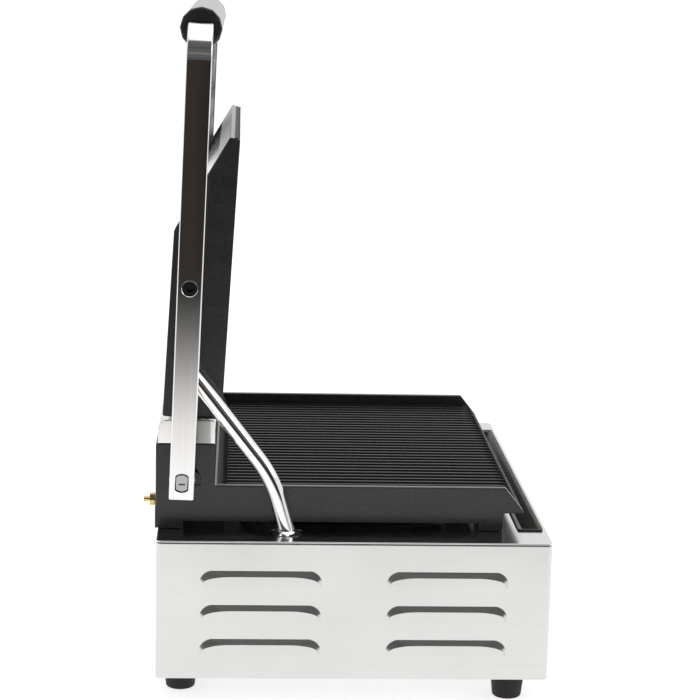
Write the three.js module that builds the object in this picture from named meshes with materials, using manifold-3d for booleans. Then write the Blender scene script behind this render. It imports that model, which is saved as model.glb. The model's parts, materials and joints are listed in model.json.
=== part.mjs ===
// Contact grill (panini press), shown open. Millimetres, +Z up, front towards -Y, feet standing at Z = 0.
// Every sub-part is one closed mesh: plain three.js forms, cut and joined by manifold-3d.
import * as THREE from "three";
import { mergeVertices } from "three/addons/utils/BufferGeometryUtils.js";
import Module from "manifold-3d";

const wasm = await Module();
wasm.setup();

// ---------------------------------------------------------------- driving dimensions
const GAP = 0.3; // clearance between touching pieces
const BASE = {
  halfX: 205, halfY: 152.5, bottom: 20, top: 130, wall: 1.5, corner: 4, deck: 1.2, seam: 0.8, side: 13,
};
const FOOT = { height: 20, topR: 13.5, bottomR: 10.5, frontX: 183, frontY: -123.7, rearX: 165, rearY: 134 };
const LOUVRE = {
  length: 94, height: 12, proud: 2.2, skin: 0.9, band: 4.5, arch: 9, offsetY: 72, pitch: 27.3, topZ: 106.7,
};
const PLATE = {
  halfX: 171, rimZ: 165, floorZ: 152.5, ridgeZ: 156.8, rimWall: 5.5, footZ: 130.3, skirtZ: 136,
};
const RIDGE = { pitch: 9.7, count: 34, base: 6.4, top: 3.0 };
const HOUSING = { front: 108.5, back: 154.3, top: 198, wall: 5.5 };
const PIVOT = { y: 133.3, z: 173.3, shaftR: 7, bushR: 9, boreR: 7.1, shaftEnd: 197.4 };
const LEAN = (1.81 * Math.PI) / 180; // the open arms lean forward by this much
const ARM = {
  inner: 187, outer: 197, width: 19, foot: -13.5, screw: 150.2, grip: 341.9, bendR: 28, end: 148,
};
const GRIP = { halfX: 160, cap: 11, radius: 15.8, bore: 12.2 };
const UPPER = {
  halfX: 164, tilt: (3.11 * Math.PI) / 180, face: -30.4, rear: -106.4, front: 111.8, wall: 8,
};
const TRAY = { halfX: 170, back: -129.6, front: -149.6, depth: 12, sheet: 0.9 };
const CONTROL = { z: 75, knobX: 95, knobR: 21, knobTip: -169, lampX: [-8, -42], switchX: -110 };
const STUD = { x: -155, z: 149.6, tip: 164 };
const CONDUIT = {
  x: -179, radius: 6.5, base: [48.9, 119], knee: [64, 173.2], end: [127.3, 255], bend: 19, hole: 8.6, pipe: 2.3,
};
const CENTRE_Y = -(CONTROL.knobTip + STUD.tip) / 2; // puts the middle of the whole depth at Y = 0

// ---------------------------------------------------------------- colours
const FINISH = {
  stainless: { color: 0xdcdbd8, roughness: 0.32, metalness: 1 },
  polished: { color: 0xe6e5e2, roughness: 0.12, metalness: 1 },
  chrome: { color: 0xeae9e6, roughness: 0.06, metalness: 1 },
  steel: { color: 0xa9a8a5, roughness: 0.4, metalness: 1 },
  castIron: { color: 0x26272a, roughness: 0.75, metalness: 0.2 },
  enamel: { color: 0x1e1d1b, roughness: 0.35, metalness: 0.1 },
  blackened: { color: 0x1b1b1d, roughness: 0.35, metalness: 0.6 },
  bakelite: { color: 0x17181a, roughness: 0.35, metalness: 0 },
  rubber: { color: 0x1d1c1b, roughness: 0.8, metalness: 0 },
  brass: { color: 0xc9a24a, roughness: 0.3, metalness: 1 },
  bronze: { color: 0x9c6b3c, roughness: 0.45, metalness: 1 },
  ceramic: { color: 0xd8d2c4, roughness: 0.6, metalness: 0 },
  green: { color: 0x2fae4a, roughness: 0.2, metalness: 0 },
  amber: { color: 0xe08a1e, roughness: 0.2, metalness: 0 },
};

// ---------------------------------------------------------------- geometry helpers
const [alongX, alongY, alongZ] = [[1, 0, 0], [0, 1, 0], [0, 0, 1]].map((v) => new THREE.Vector3(...v));
const AXES = {
  x: new THREE.Matrix4().makeBasis(alongY, alongZ, alongX),
  y: new THREE.Matrix4().makeBasis(alongZ, alongX, alongY),
  z: new THREE.Matrix4(),
};

function toSolid(geometry) {
  const bare = new THREE.BufferGeometry();
  bare.setAttribute("position", geometry.getAttribute("position"));
  if (geometry.index) bare.setIndex(geometry.index);
  const merged = mergeVertices(bare, 1e-4);
  return new wasm.Manifold(
    new wasm.Mesh({
      numProp: 3,
      vertProperties: merged.attributes.position.array,
      triVerts: new Uint32Array(merged.index.array),
    }),
  );
}

function toGeometry(solid) {
  const mesh = solid.getMesh();
  const geometry = new THREE.BufferGeometry();
  geometry.setAttribute("position", new THREE.BufferAttribute(new Float32Array(mesh.vertProperties), 3));
  geometry.setIndex(new THREE.BufferAttribute(new Uint32Array(mesh.triVerts), 1));
  geometry.computeVertexNormals();
  return geometry;
}

const asSolid = (part) => (part.isBufferGeometry ? toSolid(part) : part);
const cut = (body, ...tools) => tools.reduce((s, t) => s.subtract(asSolid(t)), asSolid(body));
const join = (body, ...parts) => parts.reduce((s, p) => s.add(asSolid(p)), asSolid(body));
const common = (a, b) => asSolid(a).intersect(asSolid(b));
const hull = (...parts) => wasm.Manifold.hull(parts.map(asSolid));

// A block between two opposite corners.
function block(x0, x1, y0, y1, z0, z1) {
  const box = new THREE.BoxGeometry(x1 - x0, y1 - y0, z1 - z0);
  return box.translate((x0 + x1) / 2, (y0 + y1) / 2, (z0 + z1) / 2);
}

// An outline swept along an axis from a to b.
// Outline coordinates: axis x takes (y, z), axis y takes (z, x), axis z takes (x, y).
function prism(axis, outline, a, b) {
  const given = outline instanceof THREE.Shape;
  const shape = given ? outline : new THREE.Shape(outline.map((p) => new THREE.Vector2(...p)));
  const settings = { depth: b - a, bevelEnabled: false, curveSegments: 3 };
  const geometry = new THREE.ExtrudeGeometry(shape, settings);
  return geometry.translate(0, 0, a).applyMatrix4(AXES[axis]);
}

// A round bar along an axis from a to b, centred at the two other coordinates in outline order.
function bar(axis, radius, a, b, u, v, sides = 24) {
  const turns = Array.from({ length: sides }, (_, i) => (2 * Math.PI * (i + 0.5)) / sides);
  return prism(axis, turns.map((t) => [u + radius * Math.cos(t), v + radius * Math.sin(t)]), a, b);
}

function ring(axis, outer, inner, a, b, u, v, sides = 24) {
  return cut(bar(axis, outer, a, b, u, v, sides), bar(axis, inner, a - 1, b + 1, u, v, sides));
}

const hexagon = (axis, flats, a, b, u, v) => bar(axis, flats / 2 / Math.cos(Math.PI / 6), a, b, u, v, 6);

function roundedRect(x0, x1, y0, y1, r) {
  const s = new THREE.Shape();
  s.moveTo(x0 + r, y0).lineTo(x1 - r, y0).absarc(x1 - r, y0 + r, r, -Math.PI / 2, 0);
  s.lineTo(x1, y1 - r).absarc(x1 - r, y1 - r, r, 0, Math.PI / 2);
  s.lineTo(x0 + r, y1).absarc(x0 + r, y1 - r, r, Math.PI / 2, Math.PI);
  s.lineTo(x0, y0 + r).absarc(x0 + r, y0 + r, r, Math.PI, 1.5 * Math.PI);
  return s;
}

// A rod or tube of the given section along straight runs joined by rounded bends.
function bentRod(points, bend, radius, sides, steps) {
  const path = new THREE.CurvePath();
  const p = points.map((q) => new THREE.Vector3(...q));
  let from = p[0];
  for (let i = 1; i < p.length - 1; i++) {
    const into = p[i].clone().sub(p[i - 1]).normalize().multiplyScalar(bend);
    const out = p[i + 1].clone().sub(p[i]).normalize().multiplyScalar(bend);
    const start = p[i].clone().sub(into);
    const end = p[i].clone().add(out);
    path.add(new THREE.LineCurve3(from, start));
    path.add(new THREE.QuadraticBezierCurve3(start, p[i], end));
    from = end;
  }
  path.add(new THREE.LineCurve3(from, p[p.length - 1]));
  return sweep(path, radius, sides, steps);
}

function sweep(path, radius, sides, steps) {
  const section = Array.from({ length: sides }, (_, i) => {
    const t = (2 * Math.PI * i) / sides;
    return new THREE.Vector2(radius * Math.cos(t), radius * Math.sin(t));
  });
  return new THREE.ExtrudeGeometry(new THREE.Shape(section), { steps, extrudePath: path, bevelEnabled: false });
}

// ---------------------------------------------------------------- assembly groups
const press = new THREE.Group();
press.position.y = CENTRE_Y;
const arms = new THREE.Group(); // local origin on the shaft, local +Z along the open arm
arms.position.set(0, PIVOT.y, PIVOT.z);
arms.rotation.x = LEAN;
const head = new THREE.Group(); // local origin on the arm screws, local +Z along the upper plate
head.position.set(0, 0, ARM.screw);
head.rotation.x = UPPER.tilt - LEAN;
arms.add(head);
press.add(arms);

function add(group, name, shape, finish) {
  const geometry = shape.isBufferGeometry ? shape : toGeometry(shape);
  const mesh = new THREE.Mesh(geometry, new THREE.MeshStandardMaterial(FINISH[finish]));
  mesh.name = name;
  group.add(mesh);
  return mesh;
}

const SIDES = [["left", -1], ["right", 1]];
const span = (sign, near, far) => (sign < 0 ? [-far, -near] : [near, far]);

// ---------------------------------------------------------------- base housing
function louvreOutline(inset) {
  const halfL = LOUVRE.length / 2 - inset;
  const top = LOUVRE.height - inset;
  const r = LOUVRE.arch - inset;
  const s = new THREE.Shape();
  s.moveTo(-halfL, 0).lineTo(halfL, 0).lineTo(halfL, top - r);
  s.absarc(halfL - r, top - r, r, 0, Math.PI / 2);
  s.lineTo(-halfL + r, top).absarc(-halfL + r, top - r, r, Math.PI / 2, Math.PI);
  return s;
}

// A pressed hood on the +X wall: a sloped band runs round its arch to a flat face.
// It is open underneath.
function louvre(centreY, bottomZ) {
  const wallX = BASE.halfX;
  const { band, proud, skin } = LOUVRE;
  const place = (g) => g.translate(0, centreY, bottomZ);
  const outer = hull(
    place(prism("x", louvreOutline(0), wallX - 1, wallX)),
    place(prism("x", louvreOutline(band), wallX, wallX + proud)),
  );
  const hollow = place(prism("x", louvreOutline(skin), wallX - 4, wallX - skin / 2).translate(0, 0, -0.5));
  const face = prism("x", louvreOutline(band + skin / 2), wallX, wallX + proud - skin);
  const inner = hull(hollow, place(face.translate(0, 0, -0.5)));
  const slot = place(prism("x", louvreOutline(skin), wallX - 4, wallX + 5));
  return { hood: cut(outer, inner), slot };
}

function baseShell() {
  const { halfX, halfY, bottom, top, wall, corner, deck, seam, side } = BASE;
  const { z, knobX, switchX, lampX } = CONTROL;
  const rim = top - deck - seam;
  const outline = (dx, dy, r) => roundedRect(dx - halfX, halfX - dx, dy - halfY, halfY - dy, r);
  let shell = cut(
    prism("z", outline(0, 0, corner), bottom, rim),
    prism("z", outline(wall, wall, corner - 1), bottom - 1, rim - wall),
    prism("z", outline(side, wall + GAP, corner), top - 9, top),
    bar("y", 4.2, -halfY - 5, -halfY + 5, z, knobX),
    block(switchX - 11.3, switchX + 11.3, -halfY - 5, -halfY + 5, z - 14.3, z + 14.3),
    bar("y", 8.4, halfY - 5, halfY + 5, 60, 120),
  );
  for (const x of lampX) shell = cut(shell, bar("y", 5.4, -halfY - 5, -halfY + 5, z, x));
  for (const column of [-LOUVRE.offsetY, LOUVRE.offsetY])
    for (let row = 0; row < 3; row++) {
      const { hood, slot } = louvre(column, LOUVRE.topZ - LOUVRE.height - row * LOUVRE.pitch);
      shell = join(cut(shell, slot), hood);
      const [slotBehind, hoodBehind] = [slot, hood].map((part) => toGeometry(asSolid(part)).rotateZ(Math.PI));
      shell = join(cut(shell, slotBehind), hoodBehind);
    }
  return shell;
}

// The deck sheet: it lies a seam's width above the side walls on a rib set in from its edge.
function topCover() {
  const { halfX, halfY, top, corner, deck, seam } = BASE;
  const ribs = [2, 5].map((r) => roundedRect(-halfX + r, halfX - r, -halfY + r, halfY - r, corner - 1));
  const strip = prism("z", ribs[0], top - deck - seam + GAP, top - 0.5);
  const rib = cut(strip, prism("z", ribs[1], top - 9, top - deck));
  let cover = cut(
    join(prism("z", roundedRect(-halfX, halfX, -halfY, halfY, corner), top - deck, top), rib),
    block(-TRAY.halfX + 2, TRAY.halfX - 2, TRAY.front + 2, TRAY.back - 2, top - 5, top + 5),
    bar("z", CONDUIT.hole, top - 5, top + 5, CONDUIT.x, CONDUIT.base[0] + 3.1),
    block(-30, 30, 60, 80, top - 5, top + 5),
  );
  for (const [x, y] of plateBoltPlaces()) cover = cut(cover, bar("z", 3.4, top - 5, top + 5, x, y, 16));
  return cover;
}

const plateBoltPlaces = () => [[-156, -108], [156, -108], [-156, 144], [156, 144]];
const footPlaces = () => SIDES.flatMap(([side, s]) => [
  [`front_${side}`, s * FOOT.frontX, FOOT.frontY],
  [`rear_${side}`, s * FOOT.rearX, FOOT.rearY],
]);

function bottomPlate() {
  const inset = BASE.wall + GAP;
  let plate = prism(
    "z",
    roundedRect(-BASE.halfX + inset, BASE.halfX - inset, -BASE.halfY + inset, BASE.halfY - inset, 2),
    BASE.bottom + GAP,
    BASE.bottom + GAP + 1.2,
  );
  for (const [, x, y] of footPlaces()) plate = cut(plate, bar("z", 2.4, 15, 30, x, y, 16));
  for (let i = -5; i <= 5; i++) plate = cut(plate, block(i * 16 - 3, i * 16 + 3, -40, 40, 15, 30));
  return plate;
}

function foot() {
  const { height, topR, bottomR } = FOOT;
  const outline = [
    [2.3, 14], [2.3, height], [topR - 1, height], [topR, height - 1],
    [bottomR + 0.8, 1.2], [bottomR, 0], [6, 0], [5.6, 14],
  ];
  const points = [...outline, outline[0]].map((p) => new THREE.Vector2(...p));
  return new THREE.LatheGeometry(points.reverse(), 16).rotateX(Math.PI / 2);
}

const footScrew = (x, y) => join(bar("z", 4.8, 10.5, 13.7, x, y, 20), bar("z", 2, 13, 27, x, y, 16));
const plateBolt = (x, y) => join(hexagon("z", 10, 123.6, 128, x, y), bar("z", 3, 126, 138, x, y, 16));

// ---------------------------------------------------------------- lower plate and its rear housing
function lowerPlate() {
  const { halfX, rimZ, floorZ, footZ, skirtZ, rimWall } = PLATE;
  const outline = [
    [-118.6, rimZ], [-133.2, 146.8], [-133.2, 144.3], [-118.3, 144.3], [-117.6, footZ], [-98.4, footZ],
    [-98.4, skirtZ], [133.7, skirtZ], [133.7, footZ], [154.8, footZ], [154.8, 147.5], [HOUSING.back, 148.2],
    [HOUSING.back, HOUSING.top], [HOUSING.front, HOUSING.top], [HOUSING.front, rimZ + 0.6], [107.9, rimZ],
  ];
  const bed = [[-140, 170], [-140, 144], [-118, floorZ], [101, floorZ], [107, rimZ], [107, 170]];
  let casting = cut(
    prism("x", outline, -halfX, halfX),
    prism("x", bed, -halfX + rimWall, halfX - rimWall),
    block(-155, 155, -94, 100, 100, 146),
    block(-141, 141, -125, -98, 100, 140),
    block(-141, 141, 120, 160, 100, skirtZ),
    block(-150, 150, HOUSING.front + HOUSING.wall, HOUSING.back - HOUSING.wall, 150, 210),
    bar("x", PIVOT.bushR + GAP, -180, 180, PIVOT.y, PIVOT.z, 32),
    bar("y", 2.4, 147, 160, STUD.z, STUD.x, 16),
  );
  const last = (RIDGE.count - 1) / 2;
  for (let i = -last; i <= last; i++) casting = join(casting, ridge(i * RIDGE.pitch));
  for (const [x, y] of plateBoltPlaces()) casting = cut(casting, bar("z", 3.3, 120, 139, x, y, 16));
  for (const [, s] of SIDES) {
    casting = cut(casting, block(...span(s, halfX - 1.4, halfX + 1), 119.6, 124.2, 165, 172.6));
  }
  return casting;
}

function ridge(x) {
  const { floorZ, ridgeZ } = PLATE;
  const section = [
    [floorZ - 8, x - RIDGE.base / 2], [floorZ - 8, x + RIDGE.base / 2], [floorZ, x + RIDGE.base / 2],
    [ridgeZ, x + RIDGE.top / 2], [ridgeZ, x - RIDGE.top / 2], [floorZ, x - RIDGE.base / 2],
  ];
  const side = [
    [-132, 146], [-118, floorZ - 1], [101.5, floorZ - 1], [101.5, floorZ],
    [98.5, 158], [-124.2, 158], [-132, 148.3],
  ];
  return common(prism("y", section, -134, 102), prism("x", side, x - 4, x + 4));
}

// Tubular heater: four parallel runs in one plane, both ends turned down towards the wiring.
function heater(halfX, near, far, level, tail) {
  const inner = halfX / 3;
  return [
    [-14, far - 18, tail], [-14, far - 18, level], [-14, far, level],
    [-halfX, far, level], [-halfX, near, level],
    [-inner, near, level], [-inner, far - 45, level], [inner, far - 45, level], [inner, near, level],
    [halfX, near, level], [halfX, far, level],
    [14, far, level], [14, far - 18, level], [14, far - 18, tail],
  ];
}

function hingeCover() {
  const { front, back, top } = HOUSING;
  const reach = 42;
  const arc = (r, y0, y1) => Array.from({ length: 13 }, (_, i) => {
    const y = y0 + ((y1 - y0) * i) / 12;
    return [y, PIVOT.z + Math.sqrt(r * r - (y - PIVOT.y) ** 2)];
  });
  const lower = top + GAP;
  const outer = [[front, lower], ...arc(reach, front, back - 1.8), [back - 1.8, lower]];
  const roof = arc(reach - 1.2, front + 1.2, back - 3);
  const inner = [[front + 1.2, lower - 1], ...roof, [back - 3, lower - 1]];
  const cheek = new THREE.Shape();
  cheek.moveTo(front, lower).lineTo(back - 1.8, lower).lineTo(back - 3.6, 213.4);
  cheek.quadraticCurveTo(back - 4, 216.6, back - 7.5, 216.7).lineTo(front + 3, 216.7);
  cheek.quadraticCurveTo(front, 216.7, front, 213.6);
  let cover = cut(prism("x", outer, -170, 170), prism("x", inner, -169, 169));
  for (const [, s] of SIDES) cover = join(cover, prism("x", cheek.clone(), ...span(s, 169.5, 171)));
  return cut(cover, bar("x", 3.7, -175, -160, 132, 206.8, 16));
}

function torsionSpring(centreX) {
  const turns = 4;
  const coil = new THREE.Curve();
  coil.getPoint = (t) => {
    const a = 2 * Math.PI * turns * t;
    const along = centreX + (t - 0.5) * turns * 4.2;
    return new THREE.Vector3(along, PIVOT.y + 11 * Math.cos(a), PIVOT.z + 11 * Math.sin(a));
  };
  return sweep(coil, 1.6, 5, turns * 10);
}

// ---------------------------------------------------------------- drip tray
function dripTray() {
  const { halfX, back, front, depth, sheet } = TRAY;
  const rim = BASE.top + GAP;
  const slope = 8.6;
  const trough = (t) => [
    [back - 3.2 - t, rim + 5 * (t > 0)], [front + 3.2 + t, rim + 5 * (t > 0)], [front + 3.2 + t, rim],
    [front + 3.2 + slope + t, rim - depth + t], [back - 3.2 - t, rim - depth + t],
  ];
  const body = join(
    prism("x", trough(0), -halfX + 4, halfX - 4),
    prism("z", roundedRect(-halfX, halfX, front, back, 2), rim, rim + sheet + 0.3),
  );
  return cut(body, prism("x", trough(sheet), -halfX + 5, halfX - 5));
}

// ---------------------------------------------------------------- arms, shaft and grip
function doubleD(radius, flat, a, b) {
  return common(bar("x", radius, a, b, 0, 0, 32), block(a, b, -flat, flat, -20, 20));
}

function shaft() {
  const { shaftR, shaftEnd } = PIVOT;
  let body = bar("x", shaftR, -ARM.inner + GAP, ARM.inner - GAP, 0, 0, 32);
  for (const [, s] of SIDES) {
    body = join(body, doubleD(6.65, 4.5, ...span(s, ARM.inner - 2, shaftEnd)));
    body = cut(body, block(...span(s, shaftEnd - 1.2, shaftEnd + 1), -3, 3, -1.6, -0.2));
  }
  return body;
}

function arm(sign) {
  const { inner, outer, width, foot: low, grip, bendR, end } = ARM;
  const top = grip + (outer - inner) / 2;
  const bevel = 1;
  const s = new THREE.Shape();
  s.moveTo(low + bevel, outer - bevel).lineTo(top - bendR, outer - bevel);
  s.absarc(top - bendR, outer - bendR, bendR - bevel, Math.PI / 2, 0, true);
  s.lineTo(top - bevel, end + bevel).lineTo(grip - 5 + bevel, end + bevel);
  s.lineTo(grip - 5 + bevel, outer - bendR);
  s.absarc(top - bendR, outer - bendR, bendR - 10 + bevel, 0, Math.PI / 2);
  s.lineTo(low + bevel, inner + bevel);
  const geometry = new THREE.ExtrudeGeometry(s, {
    depth: width - 2 * bevel, curveSegments: 6,
    bevelEnabled: true, bevelSize: bevel, bevelThickness: bevel, bevelSegments: 1,
  });
  geometry.translate(0, 0, -width / 2 + bevel).applyMatrix4(AXES.y);
  const screwX = [outer - 6, outer + 2];
  const body = cut(
    geometry,
    doubleD(6.65 + GAP, 4.5 + GAP, inner - 5, outer + 5),
    bar("x", 4.3, inner - 5, outer + 5, 0, ARM.screw, 24),
    bar("x", 5.9, ...screwX, 0, ARM.screw, 24),
  );
  return sign > 0 ? body : toGeometry(body).rotateZ(Math.PI);
}

function pivotScrew(sign) {
  const headEnd = ARM.outer - 0.4;
  const body = join(
    bar("x", 5.5, ARM.outer - 5.7, headEnd, 0, ARM.screw, 24),
    bar("x", 4, UPPER.halfX - 16, ARM.outer - 5, 0, ARM.screw, 24),
  );
  const screw = cut(body, hexagon("x", 5, headEnd - 3.5, headEnd + 1, 0, ARM.screw));
  return sign > 0 ? screw : toGeometry(screw).rotateZ(Math.PI);
}

function endCap(sign) {
  const [a, b] = span(sign, GRIP.halfX - GRIP.cap, GRIP.halfX);
  const [broad, high] = [ARM.width / 2 + GAP, 5 + GAP];
  const slot = block(a - 1, b + 1, -broad, broad, ARM.grip - high, ARM.grip + high);
  return cut(bar("x", GRIP.radius + 0.3, a, b, 0, ARM.grip, 32), slot);
}

// ---------------------------------------------------------------- upper plate (local frame: face towards -Y)
const upperOutline = () => [
  [UPPER.face, UPPER.rear + 2], [UPPER.face, UPPER.front - 2.5],
  [UPPER.face + 2.5, UPPER.front], [-22.5, 112.2],
  [14.2, 40.8], [15.3, 38], [15.3, UPPER.rear + 1], [14.3, UPPER.rear], [UPPER.face + 2, UPPER.rear],
];
const coverScrewPlaces = () => [[-138, -40], [138, -40]];

function upperPlate() {
  const { halfX, wall, face, rear, front } = UPPER;
  const cavity = [[-18, rear + wall], [-18, 87.6], [-8, 109.6], [40, 109.6], [40, rear + wall]];
  let casting = cut(
    prism("x", upperOutline(), -halfX, halfX),
    prism("x", cavity, -halfX + wall, halfX - wall),
  );
  for (const [x, z] of coverScrewPlaces()) casting = join(casting, bar("y", 5, -20, 10.6, z, x, 20));
  for (const [x, z] of coverScrewPlaces()) casting = cut(casting, bar("y", 2, -6, 12, z, x, 12));
  for (const [, s] of SIDES) {
    casting = join(casting, bar("x", 11, ...span(s, halfX - 20, halfX - 4), 0, 0, 24));
    casting = cut(casting, bar("x", 4.3, ...span(s, halfX - 17, halfX + 5), 0, 0, 24));
  }
  const last = (RIDGE.count - 2) / 2;
  for (let i = -last; i <= last; i++) {
    const x = i * RIDGE.pitch;
    const [foot, tip, height] = [3.35, 1.7, 4];
    const section = [
      [x - foot, face - 1], [x + foot, face - 1], [x + foot, face],
      [x + tip, face + height], [x - tip, face + height], [x - foot, face],
    ];
    casting = cut(casting, prism("z", section, rear + 8, front + 5));
  }
  return casting;
}

function upperCover() {
  const { halfX, wall, rear } = UPPER;
  const t = 1.2;
  const outer = [[-14.8, 91.6], [11.4, 40.8], [12.4, 38], [12.4, rear + wall + GAP]];
  const inner = outer.map(([y, z]) => [y - t, z - (z > 38 ? 0.6 : 0)]).reverse();
  let cover = prism("x", [...outer, ...inner], -halfX + wall + GAP, halfX - wall - GAP);
  for (const [x, z] of coverScrewPlaces()) cover = cut(cover, bar("y", 2.2, 5, 20, z, x, 12));
  return cover;
}

const coverScrew = (x, z) => cut(
  join(bar("y", 3.6, 12.7, 14.6, z, x, 20), bar("y", 1.7, -4, 13, z, x, 12)),
  block(x - 2.4, x + 2.4, 13.7, 15, z - 0.5, z + 0.5),
);

// ---------------------------------------------------------------- controls
function knob() {
  const { z, knobX, knobR, knobTip } = CONTROL;
  const back = -154;
  const skirt = bar("y", knobR, back - 5, back, z, knobX, 36);
  const crown = bar("y", knobR - 3, knobTip, back - 4, z, knobX, 36);
  const beside = (s) => (s < 0 ? [knobX - 40, knobX - 5.5] : [knobX + 5.5, knobX + 40]);
  const scoop = (s) => block(...beside(s), knobTip - 1, back - 6.5, z - 30, z + 30);
  const bore = bar("y", 3.3, back - 10, back + 1, z, knobX, 20);
  const marker = block(knobX - 0.8, knobX + 0.8, knobTip - 1, knobTip + 0.6, z + 4, z + 22);
  return cut(join(skirt, crown), scoop(-1), scoop(1), bore, marker);
}

function thermostat() {
  const { z, knobX } = CONTROL;
  const can = block(knobX - 18, knobX + 18, -150.6, -124, z - 18, z + 18);
  return join(can, bar("y", 3, -163, -150, z, knobX, 20));
}

function switchHousing() {
  const { z, switchX: x } = CONTROL;
  return cut(
    join(
      block(x - 11, x + 11, -154, -128, z - 14, z + 14),
      prism("y", roundedRect(z - 16.5, z + 16.5, x - 13.5, x + 13.5, 2), -154.8, -152.8),
    ),
    block(x - 9.4, x + 9.4, -160, -144, z - 12, z + 12),
  );
}

function rockerKey() {
  const side = [[2.5, -10.5], [-7, -10.5], [-4.6, 0], [-7, 10.5], [2.5, 10.5]];
  return prism("x", side, -9, 9);
}

function lampLens() {
  const dome = Array.from({ length: 5 }, (_, i) => {
    const a = (Math.PI / 2) * (i / 4);
    return [5 * Math.cos(a), 2.2 + 3 * Math.sin(a)];
  });
  const collar = [[5, GAP], [6.6, GAP], [6.6, 1.6], [5, 2.2]];
  const profile = [[0, -12], [5, -12], ...collar, ...dome.slice(1, 4), [0, 5.2]];
  return new THREE.LatheGeometry(profile.map((p) => new THREE.Vector2(...p)), 14).rotateX(Math.PI);
}

function cableGland() {
  const [z, x] = [60, 120];
  return cut(
    join(
      bar("y", 8, 140, 154, z, x, 24),
      ring("y", 11, 7, BASE.halfY + GAP, 155, z, x, 24),
      bar("y", 7.2, 153, 159.5, z, x, 24),
    ),
    bar("y", 4.6, 130, 165, z, x, 20),
  );
}

// ---------------------------------------------------------------- build everything
function buildBase() {
  add(press, "base_shell", baseShell(), "stainless");
  add(press, "top_cover", topCover(), "stainless");
  add(press, "bottom_plate", bottomPlate(), "steel");
  for (const [name, x, y] of footPlaces()) {
    add(press, `foot_${name}`, foot(), "rubber").position.set(x, y, 0);
    add(press, `foot_screw_${name}`, footScrew(x, y), "steel");
  }
  for (const [i, [x, y]] of plateBoltPlaces().entries()) {
    add(press, `plate_bolt_${i + 1}`, plateBolt(x, y), "steel");
  }
  add(press, "lower_plate", lowerPlate(), "castIron");
  add(press, "lower_heater", bentRod(heater(120, -75, 85, 142.3, 112), 9, 3.2, 6, 48), "steel");
  add(press, "lower_clamp_plate", block(-105, 105, -60, 55, 136.6, 138), "steel");
  add(press, "drip_tray", dripTray(), "enamel");
  add(press, "earth_stud", bar("y", 2, 148, STUD.tip, STUD.z, STUD.x, 20), "brass");
  const bore = bar("y", 2.3, 150, 165, STUD.z, STUD.x, 20);
  const nut = cut(hexagon("y", 9, 155.1, 159.3, STUD.z, STUD.x), bore);
  add(press, "earth_nut", nut, "brass");
}

function buildHinge() {
  add(press, "hinge_cover", hingeCover(), "polished");
  for (const [side, s] of SIDES) {
    const bush = ring("x", PIVOT.bushR, PIVOT.boreR, ...span(s, 150.3, 170.6), PIVOT.y, PIVOT.z, 32);
    add(press, `hinge_bush_${side}`, bush, "bronze");
    add(press, `lift_spring_${side}`, torsionSpring(s * 110), "steel");
    add(arms, `spring_collar_${side}`, ring("x", 13, 7 + GAP, ...span(s, 76, 86), 0, 0, 24), "steel");
    add(arms, `hinge_spacer_${side}`, ring("x", 10, 7 + GAP, ...span(s, 171.3, 186.7), 0, 0, 24), "steel");
    add(arms, `arm_${side}`, arm(s), "chrome");
    add(arms, `pivot_screw_${side}`, pivotScrew(s), "blackened");
    const spacer = ring("x", 8, 4.3, ...span(s, UPPER.halfX + GAP, 186.7), 0, ARM.screw, 24);
    add(arms, `pivot_spacer_${side}`, spacer, "chrome");
    add(arms, `grip_cap_${side}`, endCap(s), "bakelite");
  }
  add(arms, "hinge_shaft", shaft(), "steel");
  const bore = GRIP.halfX - GRIP.cap - GAP;
  add(arms, "grip", ring("x", GRIP.radius, GRIP.bore, -bore, bore, 0, ARM.grip, 32), "bakelite");
  add(arms, "grip_core", bar("x", 5, -ARM.end + GAP, ARM.end - GAP, 0, ARM.grip, 20), "steel");
}

function buildHead() {
  add(head, "upper_plate", upperPlate(), "castIron");
  const rows = heater(120, -80, 66, 0, 20).map(([x, y, z]) => [x, -14.4 + z * 0.9, y]);
  add(head, "upper_heater", bentRod(rows, 9, 3.2, 6, 48), "steel");
  add(head, "upper_clamp_plate", block(-105, 105, -10.6, -9.4, -66, 40), "steel");
  add(head, "upper_cover", upperCover(), "polished");
  for (const [side, s] of SIDES) {
    add(head, `cover_screw_${side}`, coverScrew(...coverScrewPlaces()[s < 0 ? 0 : 1]), "steel");
  }
}

function buildControls() {
  const { z, knobX, lampX, switchX } = CONTROL;
  add(press, "thermostat", thermostat(), "ceramic");
  add(press, "dial_plate", ring("y", 30, 4.4, -153.6, -152.8, z, knobX, 36), "polished");
  add(press, "thermostat_knob", knob(), "bakelite");
  add(press, "switch_housing", switchHousing(), "bakelite");
  const key = add(press, "rocker_switch", rockerKey(), "bakelite");
  key.position.set(switchX, -149, z);
  key.rotation.x = (-7 * Math.PI) / 180;
  for (const [i, name] of ["lamp_green", "lamp_amber"].entries())
    add(press, name, lampLens(), name.slice(5)).position.set(lampX[i], -BASE.halfY, z);
  const terminals = [-16, 0, 16].map((x) => bar("z", 3.2, 70, 90, 120 + x, 110, 16));
  add(press, "terminal_block", cut(block(92, 148, 98, 122, 60, 84), ...terminals), "ceramic");
  add(press, "cable_gland", cableGland(), "rubber");
}

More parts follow.
